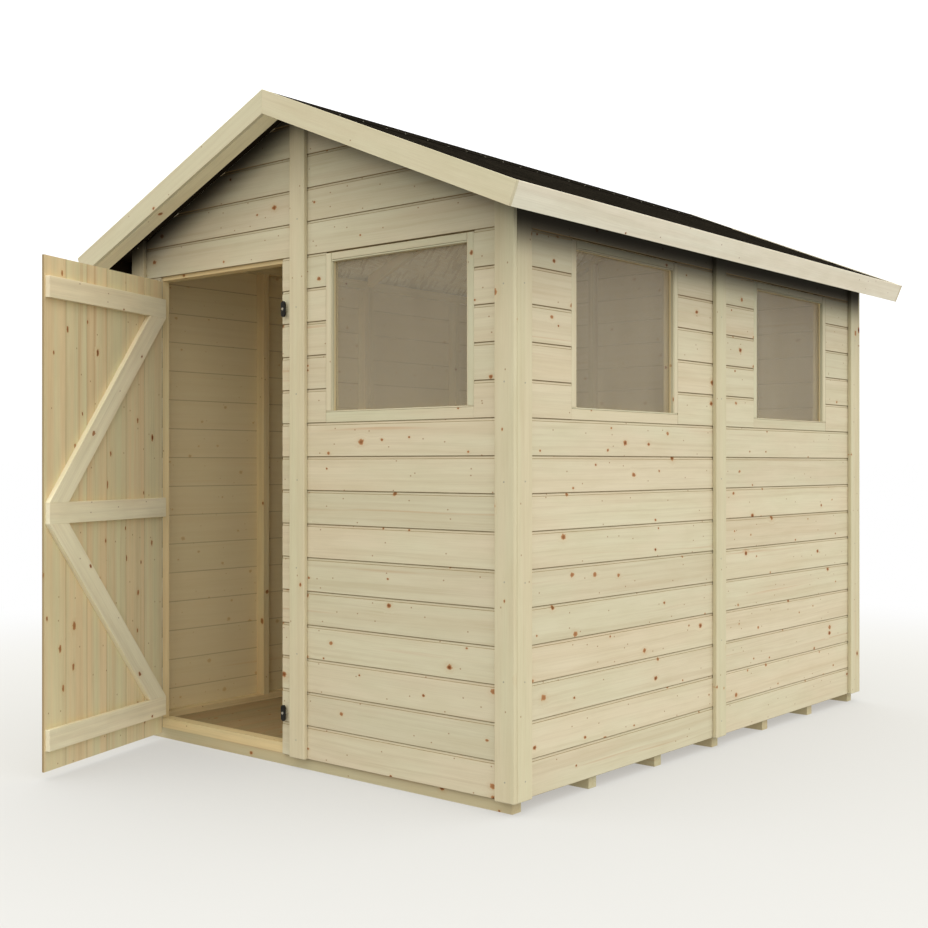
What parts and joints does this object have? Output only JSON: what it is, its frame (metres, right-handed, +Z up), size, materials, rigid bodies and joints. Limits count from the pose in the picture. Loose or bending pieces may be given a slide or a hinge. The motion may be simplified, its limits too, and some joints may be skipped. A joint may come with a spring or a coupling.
{
  "type": "apex garden shed",
  "caption": "Boarded apex garden shed with a framed floor, fixed windows, a felted roof and a ledged and braced door hung on strap hinges.",
  "frame": {"origin": "on the ground, under the middle of the walls", "axes": "+X to the right of the front, +Y from front to back along the ridge, +Z up"},
  "size_m": [2.0928, 3.2131, 2.2404],
  "materials": {
    "wall_boards": "planed pale softwood boards, untreated look, satin",
    "framing": "sawn pale softwood framing, matt",
    "floor_boards": "planed softwood floor boards, matt",
    "trim": "planed pale softwood strips and frames, satin",
    "roof_boards": "stranded wood roof boards, matt",
    "felt": "black bitumen felt with mineral granules, rough",
    "pane": "clear pane, slightly hazy",
    "black_iron": "black painted iron, semi-matt",
    "screw": "bright zinc plated steel",
    "door_wood": "planed pale softwood, satin"
  },
  "bodies": {
    "shed": {"floor_bearers": "framing", "floor_deck": "floor_boards", "left_wall_front_boards": "wall_boards", "left_wall_rear_boards": "wall_boards", "right_wall_front_boards": "wall_boards", "right_wall_rear_boards": "wall_boards", "front_wall_hinge_side": "wall_boards", "front_wall_latch_side": "wall_boards", "front_wall_over_door": "wall_boards", "front_wall_window_side": "wall_boards", "rear_wall_left_boards": "wall_boards", "rear_wall_right_boards": "wall_boards", "side_wall_studs": "framing", "side_wall_rails": "framing", "gable_wall_studs": "framing", "gable_wall_rails": "framing", "gable_slope_rails": "framing", "door_head": "trim", "gable_corner_strips": "trim", "side_corner_strips": "trim", "gable_centre_strips": "trim", "side_centre_strips": "trim", "front_window_frame": "trim", "side_window_front_frame": "trim", "side_window_rear_frame": "trim", "window_panes": "pane", "left_roof_boards": "roof_boards", "right_roof_boards": "roof_boards", "left_roof_felt": "felt", "right_roof_felt": "felt", "rafters": "framing", "left_verge_rails": "framing", "right_verge_rails": "framing", "eaves_rails": "framing", "left_bargeboards": "trim", "right_bargeboards": "trim", "eaves_boards": "trim", "hinge_plates": "black_iron", "button_screws": "screw"},
    "door": {"door_boards": "door_wood", "door_ledges": "door_wood", "door_braces": "door_wood", "hinge_straps": "black_iron"},
    "upper_button": {"upper_turn_button": "black_iron"},
    "lower_button": {"lower_turn_button": "black_iron"}
  },
  "joints": [
    {"name": "door_hinge", "type": "hinge", "parent": "shed", "child": "door", "pos_m": [-0.7615, -1.2135, 0], "axis": [0, 0, 1], "range_deg": [-100, 70.5]},
    {"name": "upper_button_turn", "type": "hinge", "parent": "shed", "child": "upper_button", "pos_m": [-0.069, -1.2125, 1.545], "axis": [0, -1, 0], "range_deg": [0, 90]},
    {"name": "lower_button_turn", "type": "hinge", "parent": "shed", "child": "lower_button", "pos_m": [-0.069, -1.2125, 0.181], "axis": [0, -1, 0], "range_deg": [0, 90]}
  ]
}
